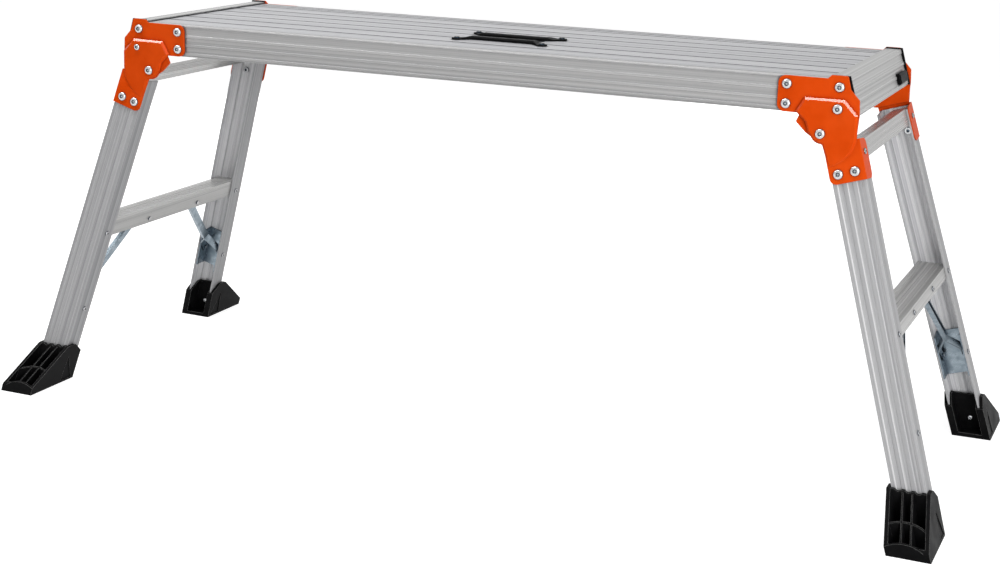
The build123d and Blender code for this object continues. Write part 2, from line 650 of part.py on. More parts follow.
leg_bracket = drill(leg_bracket, [bar_rivet_place], SMALL_DIAMETER, LEG_DEPTH)

# Pivot pins run in the ears of the deck brackets. Lock pins sit in the heads of the leg brackets:
# the right pair is solid, and the left pair is smaller with a wide hollow.
pin_grip = HEAD_PLATE + RUNNING_GAP + DECK_PLATE + RUNNING_GAP
pivot_pin = pivot_place * rivet(pin_grip, PIN_DIAMETER, PIN_TAIL)
solid_pin = stud(HEAD_PLATE)
hollow_pin = stud(HEAD_PLATE, RIVET_DIAMETER, HOLLOW_PIN_HEAD, HOLLOW_PIN_HEIGHT, HOLLOW_PIN_RECESS)
lock_pins = {"left": lock_place * hollow_pin, "right": lock_place * solid_pin}
plate_rivets = [place * rivet(LEG_PLATE + LEG_WALL) for place in plate_rivet_places]
bar_rivet = bar_rivet_place * small_rivet(LEG_PLATE + LEG_WALL + BAR_WALL)
rung_rivets = [place * small_rivet(LEG_WALL + RUNG_WALL) for place in rung_rivet_places]
brace_rivets = [place * small_rivet(LEG_WALL + 2 * BRACE_SHEET) for place in brace_rivet_places]
brace_bolt = brace_bolt_place * small_rivet(FLANGE_OUT - FLANGE_IN)

# Cross pieces end just inside the webs of the two legs.
beyond_web = LEG * block(-FAR, FAR, -FAR, LEG_WALL + CROSS_GAP, -FAR, FAR)
beyond_webs = beyond_web + corner(beyond_web, "right", "rear")

# Upper bar: an angle behind the legs' outer flanges, with its short flange on top.
upper_bar = block(FLANGE_OUT - BAR_WALL, FLANGE_OUT, -FAR, FAR, -BAR_TOP - BAR_HEIGHT, -BAR_TOP)
upper_bar = upper_bar + block(FLANGE_OUT - BAR_FLANGE, FLANGE_OUT, -FAR, FAR, -BAR_TOP - BAR_WALL, -BAR_TOP)
upper_bar = FRAME * upper_bar - beyond_webs
for row in ROWS:
    hole = bar_rivet_place * Cylinder(SMALL_DIAMETER / 2 + HOLE_FIT, LEG_DEPTH)
    upper_bar = upper_bar - corner(hole, "right", row)

# Rung: a channel turned down, with a level grooved tread between the flanges of the legs.
slope = tan(radians(LEG_TILT))


def tread_line(x, drop):
    """The height in the leg frame of a level line a given drop below the rung's top."""
    return -TREAD - x * slope - drop / cos(radians(LEG_TILT))


rung_outer = outline(sharp([
    (FLANGE_IN, tread_line(FLANGE_IN, 0)),
    (FLANGE_OUT, tread_line(FLANGE_OUT, 0)),
    (FLANGE_OUT, -RUNG_BOTTOM),
    (FLANGE_IN, -RUNG_BOTTOM),
]))
rung_inner = outline(sharp([
    (FLANGE_IN + RUNG_WALL, tread_line(FLANGE_IN + RUNG_WALL, RUNG_WALL)),
    (FLANGE_OUT - RUNG_WALL, tread_line(FLANGE_OUT - RUNG_WALL, RUNG_WALL)),
    (FLANGE_OUT - RUNG_WALL, -RUNG_BOTTOM - RUNG_WALL),
    (FLANGE_IN + RUNG_WALL, -RUNG_BOTTOM - RUNG_WALL),
]))
rung = across(rung_outer, -FAR, FAR) - across(rung_inner, -FAR, FAR)
tread_pitch = (FLANGE_OUT - FLANGE_IN) / (RUNG_GROOVES + 1)
for index in range(RUNG_GROOVES):
    low = FLANGE_IN + (index + 1) * tread_pitch - RUNG_GROOVE_WIDTH / 2
    high = low + RUNG_GROOVE_WIDTH
    groove = outline(sharp([
        (low, tread_line(low, RUNG_GROOVE_DEPTH)),
        (high, tread_line(high, RUNG_GROOVE_DEPTH)),
        (high, tread_line(high, -RUNG_WALL)),
        (low, tread_line(low, -RUNG_WALL)),
    ]))
    rung = rung - across(groove, -FAR, FAR)
rung = FRAME * rung - beyond_webs
for row in ROWS:
    for place in rung_rivet_places:
        hole = place * Cylinder(SMALL_DIAMETER / 2 + HOLE_FIT, LEG_DEPTH / 2)
        rung = rung - corner(hole, "right", row)
    hole = brace_bolt_place * Cylinder(SMALL_DIAMETER / 2 + HOLE_FIT, 4 * LEG_WIDTH)
    rung = rung - corner(hole, "right", row)

# Brace plates: zinc channels inside the legs, seated on the web and riveted through the flanges.
plate_top = -brace_line + BRACE_PLATE_LENGTH / 2
plate_bottom = -brace_line - BRACE_PLATE_LENGTH / 2
plate_base = LEG_WALL + BRACE_SHEET
plate_side = outline(sharp([
    (LEG_WALL, plate_top),
    (LEG_WALL + BRACE_PLATE_DEPTH, plate_top - BRACE_PLATE_SLANT),
    (LEG_WALL + BRACE_PLATE_DEPTH, plate_bottom + BRACE_PLATE_SLANT),
    (LEG_WALL, plate_bottom),
]))
brace_plate = block(FLANGE_IN, FLANGE_OUT, LEG_WALL, plate_base, plate_bottom, plate_top)
brace_plate = brace_plate + along(plate_side, FLANGE_IN, FLANGE_IN + BRACE_SHEET)
brace_plate = brace_plate + along(plate_side, FLANGE_OUT - BRACE_SHEET, FLANGE_OUT)
brace_plate = drill(LEG * brace_plate, brace_rivet_places, SMALL_DIAMETER, LEG_DEPTH / 2)

# Braces: zinc straps with turned lips, bolted inside the rung. The lower end forks into two arms
# that reach the side walls of the brace plate.
splay = radians(LEG_SPLAY)
reach_y = LEG_SPREAD + HALF_WIDTH - FLANGE_LINE * cos(splay) + brace_line * sin(splay) - BRACE_BOLT_Y
reach_z = FLANGE_LINE * sin(splay) + brace_line * cos(splay) - RUNG_RIVET_LINE
brace_length = hypot(reach_y, reach_z)
BRACE = FRAME * Pos(0, -BRACE_BOLT_Y, -RUNG_RIVET_LINE) * Rot(-degrees(atan2(reach_y, reach_z)), 0, 0)
half = BRACE_WIDTH / 2
fork = brace_length - BRACE_FORK_LENGTH
sheet_in = LEG_MIDDLE - BRACE_SHEET / 2
sheet_out = LEG_MIDDLE + BRACE_SHEET / 2
brace = block(sheet_in, sheet_out, -half, half, -fork, 0)
brace = brace + Pos(LEG_MIDDLE, 0, 0) * Rot(0, 90, 0) * Cylinder(half, BRACE_SHEET)
for y in (-half, half - BRACE_SHEET):
    brace = brace + block(sheet_in, sheet_out + BRACE_LIP, y, y + BRACE_SHEET, -fork, -half)
arm_line = BRACE_SHEET + BRACE_SHEET / 2
for wall in (FLANGE_IN + arm_line, FLANGE_OUT - arm_line):
    arm = Polyline(
        (LEG_MIDDLE, -fork + BRACE_WIDTH),
        (LEG_MIDDLE, -fork),
        (wall, -fork - BRACE_FORK_SPREAD),
        (wall, -brace_length - half),
    )
    brace = brace + across(trace(arm, BRACE_SHEET), -half, half)
brace = drill(BRACE * brace, [brace_bolt_place], SMALL_DIAMETER, LEG_WIDTH)
brace = drill(brace, brace_rivet_places, SMALL_DIAMETER, LEG_DEPTH / 2)

# Feet: black moulded shoes with a long toe. Slots between cheeks and inner walls hold the flanges,
# a scalloped wall stands outside the web, a tongue behind it takes the rivet, and low ribs
# stiffen the open toe.
floor_line = HALF_WIDTH + LEG_SPREAD + leg_line(0) * tan(radians(LEG_SPLAY))
foot_toe = floor_line + FOOT_REACH
top_outer = floor_line - FOOT_TOP_INSET
top_inner = top_outer - FOOT_TOP_WIDTH
cheek_in = LEG_OFFSET - FOOT_FIT - FOOT_CHEEK
cheek_out = LEG_OUTER + FOOT_FIT + FOOT_CHEEK


def slab(x0, x1):
    """Everything between two planes parallel to the cheeks."""
    return FRAME * block(x0, x1, -FAR, FAR, -FAR, FAR)


def level_x(x, z):
    """The X of a line at x in the leg frame where it passes height z."""
    return PIVOT_X + x / cos(radians(LEG_TILT)) + (PIVOT_Z - z) * tan(radians(LEG_TILT))


def foot_profile(drop):
    """The side view of the foot, with its top lowered by the drop."""
    heel = top_inner - FOOT_HEIGHT / tan(radians(FOOT_HEEL_SLOPE))
    return outline([
        (-foot_toe, 0, 0),
        (-foot_toe, FOOT_TOE_HEIGHT - drop, FOOT_TOE_ROUND),
        (-top_outer, FOOT_HEIGHT - drop, FOOT_TOP_ROUND),
        (-top_inner, FOOT_HEIGHT - drop, FOOT_TOP_ROUND),
        (-heel, 0, 0),
    ])


heel_face = LEG_DEPTH + FOOT_FIT + FOOT_HEEL_WALL
before_heel = LEG * block(-FAR, FAR, -FAR, heel_face, -FAR, FAR)
whole_foot = along(foot_profile(0), 0, FAR) & before_heel
low_foot = along(foot_profile(FOOT_RIB_DROP), 0, FAR) & before_heel
rim = LEG * block(-FAR, FAR, -FOOT_FIT - FOOT_WALL, FAR, -FAR, FAR)
between_cheeks = slab(cheek_in + FOOT_CHEEK, cheek_out - FOOT_CHEEK)
tray = block(0, FAR, -foot_toe + FOOT_WALL, 0, FOOT_SOLE, FAR) & between_cheeks
fat_leg = block(LEG_OFFSET - FOOT_FIT, LEG_OUTER + FOOT_FIT, -FOOT_FIT, LEG_DEPTH + FOOT_FIT, -FAR, FAR)
core = block(FLANGE_IN + FOOT_FIT, FLANGE_OUT - FOOT_FIT, LEG_WALL + FOOT_FIT, FAR, -FAR, FAR)
slots = LEG * (fat_leg - core) & above_foot_sole
pocket_wall = FOOT_FIT + FOOT_INNER_WALL
pocket = block(FLANGE_IN + pocket_wall, FLANGE_OUT - pocket_wall, tongue_face, FAR, -FAR, FAR)
pocket = LEG * pocket & above_foot_sole
foot = (whole_foot & slab(cheek_in, cheek_out)) - (tray - rim) - slots - pocket
rib_middle = LEG_MIDDLE - FOOT_RIB_SHIFT
for x in (rib_middle - FOOT_RIB_SPREAD / 2, rib_middle + FOOT_RIB_SPREAD / 2):
    foot = foot + ((low_foot & slab(x - FOOT_RIB / 2, x + FOOT_RIB / 2)) - rim)
arc_apex = foot_toe - FOOT_ARC_FROM_TOE
toe_slope = (FOOT_HEIGHT - FOOT_TOE_HEIGHT) / (foot_toe - top_outer)
arc_height = FOOT_TOE_HEIGHT + FOOT_ARC_FROM_TOE * toe_slope
arc_centre = Pos(level_x(rib_middle, arc_height), -arc_apex - FOOT_ARC_RADIUS, 0)
arc_rib = Cylinder(FOOT_ARC_RADIUS + FOOT_RIB / 2, FAR) - Cylinder(FOOT_ARC_RADIUS - FOOT_RIB / 2, FAR)
foot = foot + (((arc_centre * arc_rib) & low_foot & slab(cheek_in, cheek_out)) - rim)
crown_half = (cheek_out - cheek_in) / cos(radians(LEG_TILT)) / 2
crown_low = FOOT_TOE_HEIGHT - FOOT_TOE_ROUND
crown_arc = ThreePointArc((-crown_half, crown_low), (0, FOOT_TOE_CROWN), (crown_half, crown_low))
crown_rest = Polyline((crown_half, crown_low), (crown_half, 0), (-crown_half, 0), (-crown_half, crown_low))
crown = across(make_face(crown_arc + crown_rest), -foot_toe, -foot_toe + FOOT_WALL)
foot = foot + (Pos(level_x(rib_middle, FOOT_TOE_CROWN), 0, 0) * crown & slab(cheek_in, cheek_out))
scallop_rise = FOOT_HEIGHT + FOOT_SCALLOP - FOOT_SCALLOP_DEPTH
for index in range(-1, LEG_FLUTES + 1):
    x = level_x(first_flute + index * LEG_FLUTE_PITCH, FOOT_HEIGHT)
    scallop = Pos(x, -top_outer, scallop_rise) * Rot(90, 0, 0) * Cylinder(FOOT_SCALLOP, 4 * FOOT_WALL)
    foot = foot - (scallop & between_cheeks)
recess = along(outline(sharp([(-floor_line - y, z) for y, z in FOOT_RECESS])), 0, FAR)
foot = foot - (recess & slab(cheek_in - FOOT_CHEEK, cheek_in + FOOT_RECESS_DEPTH))
foot = foot - (recess & slab(cheek_out - FOOT_RECESS_DEPTH, cheek_out + FOOT_CHEEK))
foot = drill(foot, [foot_rivet_place], SMALL_DIAMETER, LEG_DEPTH)
foot_rivet = foot_rivet_place * small_rivet(FOOT_TONGUE + FOOT_FIT + LEG_WALL + FOOT_FIT + FOOT_WALL)

for side in SIDES:
    for row in ROWS:
        save(f"{side}_{row}_leg", corner(leg, side, row))
        save(f"{side}_{row}_leg_bracket", corner(leg_bracket, side, row))
        save(f"{side}_{row}_brace_plate", corner(brace_plate, side, row))
        save(f"{side}_{row}_brace", corner(brace, side, row))
        save(f"{side}_{row}_foot", corner(foot, side, row))
    save(f"{side}_upper_bar", corner(upper_bar, side, "front"))
    save(f"{side}_rung", corner(rung, side, "front"))
    save(f"{side}_pivot_pins", *[corner(pivot_pin, side, row) for row in ROWS])
    save(f"{side}_lock_pins", *[corner(lock_pins[side], side, row) for row in ROWS])
    save(f"{side}_leg_plate_rivets", *[corner(shape, side, row) for shape in plate_rivets for row in ROWS])
    save(f"{side}_upper_bar_rivets", *[corner(bar_rivet, side, row) for row in ROWS])
    save(f"{side}_rung_rivets", *[corner(shape, side, row) for shape in rung_rivets for row in ROWS])
    save(f"{side}_brace_rivets", *[corner(shape, side, row) for shape in brace_rivets for row in ROWS])
    save(f"{side}_brace_bolts", *[corner(brace_bolt, side, row) for row in ROWS])
    save(f"{side}_foot_rivets", *[corner(foot_rivet, side, row) for row in ROWS])
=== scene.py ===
from math import cos, radians, sin

import bpy
from mathutils import Matrix, Vector

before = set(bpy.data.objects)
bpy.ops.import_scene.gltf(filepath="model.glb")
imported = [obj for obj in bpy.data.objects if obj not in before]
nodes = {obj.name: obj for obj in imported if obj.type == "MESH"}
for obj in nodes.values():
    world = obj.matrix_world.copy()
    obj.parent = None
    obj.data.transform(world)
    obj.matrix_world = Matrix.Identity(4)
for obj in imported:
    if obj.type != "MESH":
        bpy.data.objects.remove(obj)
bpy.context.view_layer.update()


# Deck planks: thin boards of extruded aluminium, left as they come from the press, three wide and one narrow.
# A shallow groove runs along the middle of each, and their stepped edges leave one more at each joint.
# Their webs rest on a shelf of the end rails, and the outer planks also on a ledge of the side rails.

PLANKS = ("front_plank", "grip_plank", "middle_plank", "closing_plank")
LENGTHWISE = Vector((1, 0, 0))
COLOUR_INPUTS, COLOUR_OUTPUT = (6, 7), 2


def place(tree, kind, feeds=None, **settings):
    """Puts one node in a tree. A feed is a socket to link from, or a plain value."""
    new = tree.nodes.new(kind)
    for key, value in settings.items():
        setattr(new, key, value)
    for key, value in (feeds or {}).items():
        if isinstance(value, bpy.types.NodeSocket):
            tree.links.new(value, new.inputs[key])
        else:
            new.inputs[key].default_value = value
    return new


def calculate(tree, operation, first, second):
    """One sum on two values."""
    return place(tree, "ShaderNodeMath", {0: first, 1: second}, operation=operation).outputs[0]


def with_vectors(tree, operation, first, second):
    """One sum on two vectors, or on a vector and the value that scales it."""
    other = "Scale" if operation == "SCALE" else 1
    result = "Value" if operation == "DOT_PRODUCT" else "Vector"
    return place(tree, "ShaderNodeVectorMath", {0: first, other: second}, operation=operation).outputs[result]


def spread(tree, value, low, high, to_low=0.0, to_high=1.0):
    """Stretches a value from one range to another, held at both ends."""
    feeds = {"Value": value, "From Min": low, "From Max": high, "To Min": to_low, "To Max": to_high}
    return place(tree, "ShaderNodeMapRange", feeds).outputs["Result"]


def tint(tree, share, first, second):
    """Mixes two colours by a share. A colour is a socket, or its red, green and blue."""
    mix = place(tree, "ShaderNodeMix", {"Factor": share}, data_type="RGBA")
    for number, colour in zip(COLOUR_INPUTS, (first, second)):
        if isinstance(colour, bpy.types.NodeSocket):
            tree.links.new(colour, mix.inputs[number])
        else:
            mix.inputs[number].default_value = (*colour, 1)
    return mix.outputs[COLOUR_OUTPUT]


def lay_over(tree, colour, other, mask, share):
    """Lays another colour over the first where a mask is strong."""
    return tint(tree, calculate(tree, "MULTIPLY", mask, share), colour, other)


def start_group(name, takes, gives):
    """A shader node group with named sockets: returns the tree, its input node and its output node."""
    tree = bpy.data.node_groups.new(name, "ShaderNodeTree")
    for label, kind in takes:
        tree.interface.new_socket(label, in_out="INPUT", socket_type=kind)
    for label, kind in gives:
        tree.interface.new_socket(label, in_out="OUTPUT", socket_type=kind)
    return tree, tree.nodes.new("NodeGroupInput"), tree.nodes.new("NodeGroupOutput")


def make_press_lines():
    """Lines that the die leaves along an extrusion: fine ones, and broad bands of grey."""
    takes = (("Along", "NodeSocketVector"), ("Lines", "NodeSocketFloat"), ("Bands", "NodeSocketFloat"))
    gives = (("Fine", "NodeSocketFloat"), ("Broad", "NodeSocketFloat"))
    tree, inlet, outlet = start_group("press_lines", takes, gives)
    spot = place(tree, "ShaderNodeTexCoord").outputs["Object"]
    along = inlet.outputs["Along"]
    down = with_vectors(tree, "SCALE", along, with_vectors(tree, "DOT_PRODUCT", spot, along))
    across = with_vectors(tree, "SUBTRACT", spot, down)
    for label, amount, stretch, detail in (("Fine", "Lines", 0.7, 3.0), ("Broad", "Bands", 0.5, 2.0)):
        side = with_vectors(tree, "SCALE", across, inlet.outputs[amount])
        where = with_vectors(tree, "ADD", side, with_vectors(tree, "SCALE", down, stretch))
        feeds = {"Vector": where, "Scale": 1.0, "Detail": detail, "Roughness": 0.6}
        tree.links.new(place(tree, "ShaderNodeTexNoise", feeds).outputs["Fac"], outlet.inputs[label])
    return tree


EDGE_STARTS, EDGE_FULL = 0.99, 0.8


def make_edge_mask():
    """Where the edges are: a mask that lays wear, painted highlights and painted shade on edges, and the
    normal of edges that are slightly round.
    """
    takes = (("Radius", "NodeSocketFloat"),)
    gives = (("Edge", "NodeSocketFloat"), ("Rounded", "NodeSocketVector"))
    tree, inlet, outlet = start_group("edge_mask", takes, gives)
    rounded = place(tree, "ShaderNodeBevel", {"Radius": inlet.outputs["Radius"]}, samples=6).outputs["Normal"]
    flat = place(tree, "ShaderNodeNewGeometry").outputs["Normal"]
    turn = with_vectors(tree, "DOT_PRODUCT", rounded, flat)
    tree.links.new(spread(tree, turn, EDGE_STARTS, EDGE_FULL), outlet.inputs["Edge"])
    tree.links.new(rounded, outlet.inputs["Rounded"])
    return tree


RECESS_STARTS = 0.94
SHELTER_STARTS, SHELTER_FULL = 0.92, 0.6


def make_corners():
    """How deep in a corner a spot lies, for painted shade with some grime, and how far inside its own piece
    it is, for painted light.
    """
    takes = (("Reach", "NodeSocketFloat"), ("Full", "NodeSocketFloat"), ("Shelter", "NodeSocketFloat"))
    gives = (("Recess", "NodeSocketFloat"), ("Inside", "NodeSocketFloat"))
    tree, inlet, outlet = start_group("corners", takes, gives)
    near = place(tree, "ShaderNodeAmbientOcclusion", {"Distance": inlet.outputs["Reach"]}, samples=8)
    wide = place(tree, "ShaderNodeAmbientOcclusion", {"Distance": inlet.outputs["Shelter"]},
                 samples=8, only_local=True)
    recess = spread(tree, near.outputs["AO"], RECESS_STARTS, inlet.outputs["Full"])
    inside = spread(tree, wide.outputs["AO"], SHELTER_STARTS, SHELTER_FULL)
    tree.links.new(recess, outlet.inputs["Recess"])
    tree.links.new(inside, outlet.inputs["Inside"])
    return tree


press_lines = make_press_lines()
edge_mask = make_edge_mask()
corners = make_corners()


def start_finish(name, **constants):
    """A material with its shader, and plain values set on the shader's own sockets."""
    finish = bpy.data.materials.new(name)
    finish.use_nodes = True
    shader = finish.node_tree.nodes["Principled BSDF"]
    for key, value in constants.items():
        shader.inputs[key.replace("_", " ")].default_value = value
    return finish, finish.node_tree, shader


def feed(tree, shader, **sources):
    """Links what changes over the surface to the shader."""
    for key, source in sources.items():
        tree.links.new(source, shader.inputs[key.replace("_", " ")])


def use_group(tree, group, **values):
    """Places a shared effect in a material with its own values."""
    effect = place(tree, "ShaderNodeGroup", node_tree=group)
    for key, value in values.items():
        effect.inputs[key].default_value = value
    return effect.outputs


def bumped(tree, height, normal, strength, depth):
    """A normal with a fine relief on it."""
    feeds = {"Height": height, "Normal": normal, "Strength": strength, "Distance": depth}
    return place(tree, "ShaderNodeBump", feeds).outputs["Normal"]


DIE_LINES = 420.0
GREY_BANDS = 75.0
FINE_SHARE, BROAD_SHARE = 0.55, 0.45
# Pale edge colour: partly wear, partly a painted highlight.
WORN_AND_LIT_ALUMINIUM_EDGE = (0.78, 0.78, 0.77)
# Painted shade, with some grime, for corners and grooves.
CORNER_SHADE_AND_GRIME = (0.06, 0.06, 0.065)
# Painted light: how much paler the inside of channels is painted, and its limit.
INSIDE_LIGHT_GAIN = 2.25
INSIDE_LIGHT_LIMIT = 0.92


def mill_aluminium(name, along, dark, light, round_over=0.0002, corner_shade_and_grime=0.75, full=0.45,
                   bare=0.18, rough=(0.48, 0.34), edge_wear_and_highlight=0.5):
    """Extruded aluminium: die lines, edges painted paler as wear and highlight, painted shade with some grime
    in the corners, and painted light inside.
    """
    finish, tree, shader = start_finish(name, Metallic=bare, Specular_IOR_Level=0.2)
    drawn = use_group(tree, press_lines, Along=along, Lines=DIE_LINES, Bands=GREY_BANDS)
    edge = use_group(tree, edge_mask, Radius=round_over)
    corner = use_group(tree, corners, Reach=0.004, Full=full, Shelter=0.05)
    fine = spread(tree, drawn["Fine"], 0.36, 0.64)
    broad = spread(tree, drawn["Broad"], 0.38, 0.62)
    share = calculate(tree, "ADD", calculate(tree, "MULTIPLY", fine, FINE_SHARE),
                      calculate(tree, "MULTIPLY", broad, BROAD_SHARE))
    colour = tint(tree, share, dark, light)
    # Edges painted paler: partly wear, partly a painted highlight.
    colour = lay_over(tree, colour, WORN_AND_LIT_ALUMINIUM_EDGE, mask=edge["Edge"], share=edge_wear_and_highlight)
    # Painted light: the inside of channels and hollows is painted paler, where little light reaches.
    lifted_dark, lifted_light = [[min(INSIDE_LIGHT_GAIN * part, INSIDE_LIGHT_LIMIT) for part in shade] for shade in (dark, light)]
    lifted_inside = tint(tree, share, lifted_dark, lifted_light)
    colour = lay_over(tree, colour, lifted_inside, mask=corner["Inside"], share=0.9)
    # Painted shade, with some grime, darkens corners and grooves.
    colour = lay_over(tree, colour, CORNER_SHADE_AND_GRIME, mask=corner["Recess"], share=corner_shade_and_grime)
    feed(tree, shader, Base_Color=colour, Roughness=spread(tree, fine, 0.0, 1.0, *rough),
         Normal=bumped(tree, drawn["Fine"], edge["Rounded"], strength=0.3, depth=0.00006))
    return finish


def coat(finish, *names):
    """Gives CAD nodes their finish."""
    for name in names:
        for holder in nodes[name].material_slots:
            holder.material = finish


plank_aluminium = mill_aluminium("plank_aluminium", LENGTHWISE, (0.33, 0.332, 0.35), (0.51, 0.51, 0.525),
                                 corner_shade_and_grime=0.95, full=0.76)
coat(plank_aluminium, *PLANKS)


# Side rails: ridged extrusions of aluminium along the front and the rear of the deck, between the end rails.
# Their top lip is level with the planks, and a ledge inside carries the outer planks.
# The deck brackets are riveted to them at both ends.

side_rail_aluminium = mill_aluminium("side_rail_aluminium", LENGTHWISE, (0.325, 0.325, 0.327),
                                     (0.51, 0.505, 0.505), round_over=0.001, full=0.7)
coat(side_rail_aluminium, "front_side_rail", "rear_side_rail")


# End rails: hollow extrusions of aluminium across each end of the deck, with a ridged, slanting face.
# The top lip laps over the ends of the planks, and a shelf below carries them.

CROSSWISE = Vector((0, 1, 0))
end_rail_aluminium = mill_aluminium("end_rail_aluminium", CROSSWISE, (0.30, 0.30, 0.30), (0.53, 0.53, 0.525),
                                    round_over=0.001, full=0.7)
coat(end_rail_aluminium, "left_end_rail", "right_end_rail")


# End caps and bumpers: black moulded plastic, matt with a fine grain.
# A thin cap covers each open end of the end rails, behind the deck bracket.
# A small block sits on the face of each end rail, beside one corner.

BLACK_PLASTIC = (0.003, 0.003, 0.0033), (0.007, 0.007, 0.0073)


def noise(tree, scale, detail):
    """Even noise that stays with its piece."""
    spot = place(tree, "ShaderNodeTexCoord").outputs["Object"]
    feeds = {"Vector": spot, "Scale": scale, "Detail": detail}
    return place(tree, "ShaderNodeTexNoise", feeds).outputs["Fac"]


def moulded_black(name, grain=2600.0, wear_and_highlight_share=0.35, rub_width=0.0006, edge_wear_and_highlight=(0.13, 0.13, 0.13)):
    """Black plastic with a fine grain, its outer edges painted paler as part wear and part highlight."""
    finish, tree, shader = start_finish(name, Specular_IOR_Level=0.03)
    edge = use_group(tree, edge_mask, Radius=rub_width)
    recess = use_group(tree, corners, Reach=0.003, Full=0.6)["Recess"]
    cloud = noise(tree, scale=45.0, detail=4.0)
    speck = noise(tree, scale=grain, detail=2.0)
    outer_edge = calculate(tree, "MULTIPLY", edge["Edge"], calculate(tree, "SUBTRACT", 1.0, recess))
    colour = tint(tree, spread(tree, cloud, 0.35, 0.65), *BLACK_PLASTIC)
    # Outer edges painted paler: partly wear, partly a painted highlight.
    colour = lay_over(tree, colour, edge_wear_and_highlight, mask=outer_edge, share=wear_and_highlight_share)
    feed(tree, shader, Base_Color=colour, Roughness=spread(tree, cloud, 0.3, 0.7, 0.38, 0.55),
         Normal=bumped(tree, speck, edge["Rounded"], strength=0.35, depth=0.00008))
    return finish


coat(moulded_black("cap_plastic"), "end_caps", "end_bumpers")


# Hand grips: two moulded bars of black plastic, one along each long edge of the hand slot.
# Thin feet flare out from their ends onto the planks, each held by a black pan-head screw.

coat(moulded_black("grip_plastic", grain=2200.0, wear_and_highlight_share=0.5), "front_hand_grip", "rear_hand_grip")

DULLER, BRIGHTER = 0.82, 1.15
# Painted shade for the sunk middle of heads.
RECESS_SHADE_GREY = (0.035, 0.055, 0.08)


def bright_steel(name, shade=(0.55, 0.56, 0.57)):
    """Steel of rivets, pins, bolts and screws: a clear shine, with painted shade in the sunk middle."""
    finish, tree, shader = start_finish(name, Metallic=1.0)
    edge = use_group(tree, edge_mask, Radius=0.0003)
    recess = use_group(tree, corners, Reach=0.006, Full=0.72)["Recess"]
    mottle = spread(tree, noise(tree, scale=700.0, detail=3.0), 0.35, 0.65)
    dull, bright = [[change * part for part in shade] for change in (DULLER, BRIGHTER)]
    colour = tint(tree, mottle, dull, bright)
    # Painted shade darkens the sunk middle of heads.
    colour = lay_over(tree, colour, RECESS_SHADE_GREY, mask=recess, share=0.95)
    feed(tree, shader, Base_Color=colour, Roughness=spread(tree, mottle, 0.0, 1.0, 0.34, 0.2),
         Normal=edge["Rounded"])
    return finish


coat(bright_steel("screw_steel", shade=(0.02, 0.02, 0.021)), "hand_grip_screws")


# Deck brackets: pressed steel plates under an orange powder coat, one at each corner of the deck.
# Two bright rivets hold each to the side rail and one to the end rail.
# An ear below the rail carries the pivot pin.

ENDS = ("left", "right")
CORNERS = [(end, side) for end in ENDS for side in ("front", "rear")]
ORANGE = (0.68, 0.062, 0.003), (0.75, 0.076, 0.006)
# Paler edges: partly a thinner coat, partly a painted highlight.
ORANGE_EDGE_THIN_AND_LIT = (0.95, 0.25, 0.09)
# Painted shade for corners.
ORANGE_CORNER_SHADE = (0.22, 0.018, 0.004)
BEVEL_GLOSS = 0.65


def glossy_bevels(tree):
    """Gloss on the bevels that look upward, and none on flat faces or cut edges."""
    facing = place(tree, "ShaderNodeTexCoord").outputs["Normal"]
    facing = place(tree, "ShaderNodeSeparateXYZ", {0: facing}).outputs
    sideways = calculate(tree, "ABSOLUTE", facing["Y"], 0.0)
    not_flat = spread(tree, sideways, 0.94, 0.86, 0.0, BEVEL_GLOSS)
    not_edge = spread(tree, sideways, 0.4, 0.5)
    upward = spread(tree, facing["Z"], 0.05, 0.25)
    return calculate(tree, "MULTIPLY", calculate(tree, "MULTIPLY", not_flat, not_edge), upward)


def orange_powder(name):
    """Orange powder coat: a slight orange peel, edges painted paler as a thinner coat and a highlight, and
    painted shade in its corners.
    """
    finish, tree, shader = start_finish(name, Specular_IOR_Level=0.015, Coat_Roughness=0.12)
    edge = use_group(tree, edge_mask, Radius=0.0012)
    recess = use_group(tree, corners, Reach=0.006, Full=0.4)["Recess"]
    cloud = noise(tree, scale=28.0, detail=3.0)
    peel = noise(tree, scale=620.0, detail=2.0)
    colour = tint(tree, spread(tree, cloud, 0.35, 0.65), *ORANGE)
    # Edges painted paler: partly a thinner coat, partly a painted highlight.
    colour = lay_over(tree, colour, ORANGE_EDGE_THIN_AND_LIT, mask=edge["Edge"], share=0.3)
    # Painted shade darkens the corners.
    colour = lay_over(tree, colour, ORANGE_CORNER_SHADE, mask=recess, share=0.5)
    feed(tree, shader, Base_Color=colour, Roughness=spread(tree, cloud, 0.3, 0.7, 0.24, 0.32),
         Coat_Weight=glossy_bevels(tree),
         Normal=bumped(tree, peel, edge["Rounded"], strength=0.25, depth=0.00012))
    return finish


orange_coat = orange_powder("orange_coat")
rivet_steel = bright_steel("rivet_steel")
for end, side in CORNERS:
    coat(orange_coat, f"{end}_{side}_deck_bracket")
coat(rivet_steel, "deck_bracket_rivets")


# Legs: fluted aluminium channels, open towards the middle of the platform, leaning out and splayed.
# The die lines run down each leg, so each leg's finish has its own direction.

LEG_TILT = radians(17.0)
LEG_SPLAY = radians(6.27)
OUTWARD = {"left": -1, "right": 1, "front": -1, "rear": 1}
for end, side in CORNERS:
    down_leg = Vector((OUTWARD[end] * cos(LEG_SPLAY) * sin(LEG_TILT),
                       OUTWARD[side] * sin(LEG_SPLAY),
                       -cos(LEG_SPLAY) * cos(LEG_TILT)))
    leg_aluminium = mill_aluminium(f"{end}_{side}_leg_aluminium", down_leg,
                                   (0.25, 0.25, 0.26), (0.48, 0.48, 0.487),
                                   round_over=0.0008, corner_shade_and_grime=0.3, rough=(0.58, 0.46), edge_wear_and_highlight=0.1)
    coat(leg_aluminium, f"{end}_{side}_leg")


